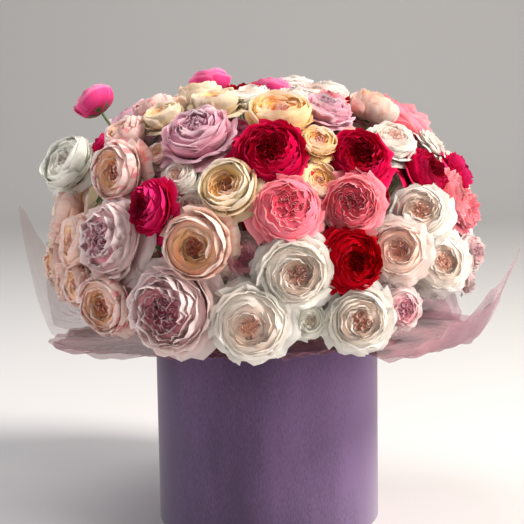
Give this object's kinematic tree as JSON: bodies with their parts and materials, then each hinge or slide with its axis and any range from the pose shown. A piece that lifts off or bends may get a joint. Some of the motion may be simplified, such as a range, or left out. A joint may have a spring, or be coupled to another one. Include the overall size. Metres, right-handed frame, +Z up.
{
  "type": "box of roses",
  "caption": "Round velvet hat box packed with wet foam and a dome of garden roses, film sheets flaring over its rim.",
  "frame": {"origin": "centre of the box's flat underside", "axes": "+Z up along the box, -Y towards the side that the picture shows, +X to its right"},
  "size_m": [0.5212, 0.4932, 0.4855],
  "materials": {
    "blush": "matte",
    "board": "matte",
    "velvet": "matte",
    "coral": "matte",
    "cream": "matte",
    "crimson": "matte",
    "film": "satin",
    "hotpink": "matte",
    "liner": "satin",
    "magenta": "matte",
    "mauve": "matte",
    "peach": "matte",
    "pink": "matte",
    "red": "matte",
    "foam": "matte",
    "white": "matte",
    "yellow": "matte"
  },
  "bodies": {
    "root": {"blush_back_04": "blush", "blush_back_11": "blush", "blush_crest": "blush", "blush_crown": "blush", "blush_middle": "blush", "blush_right": "blush", "box_base": "board", "box_wall": "velvet", "coral_back_09": "coral", "coral_edge": "coral", "coral_pair": "coral", "cream_back_05": "cream", "cream_heart": "cream", "cream_small": "cream", "cream_top": "cream", "crimson_back_06": "crimson", "crimson_main": "crimson", "crimson_right": "crimson", "crimson_upper": "crimson", "film_back": "film", "film_back_right": "film", "film_front": "film", "film_left": "film", "film_left_low": "film", "film_right": "film", "hotpink_crest": "hotpink", "hotpink_top": "hotpink", "liner_tub": "liner", "magenta_back_02": "magenta", "magenta_left": "magenta", "magenta_tall": "magenta", "magenta_top": "magenta", "mauve_back_10": "mauve", "mauve_crown": "mauve", "mauve_ruffled": "mauve", "peach_back_03": "peach", "peach_crest": "peach", "peach_heart": "peach", "peach_left": "peach", "peach_low": "peach", "peach_side": "peach", "pink_back_07": "pink", "pink_edge": "pink", "pink_low": "pink", "red_back_13": "red", "red_main": "red", "wet_foam": "foam", "white_back_01": "white", "white_back_08": "white", "white_back_14": "white", "white_crest": "white", "white_front": "white", "white_left": "white", "white_low": "white", "white_main": "white", "white_right": "white", "white_small": "white", "white_upper": "white", "yellow_back_12": "yellow", "yellow_pair": "yellow"}
  },
  "joints": []
}
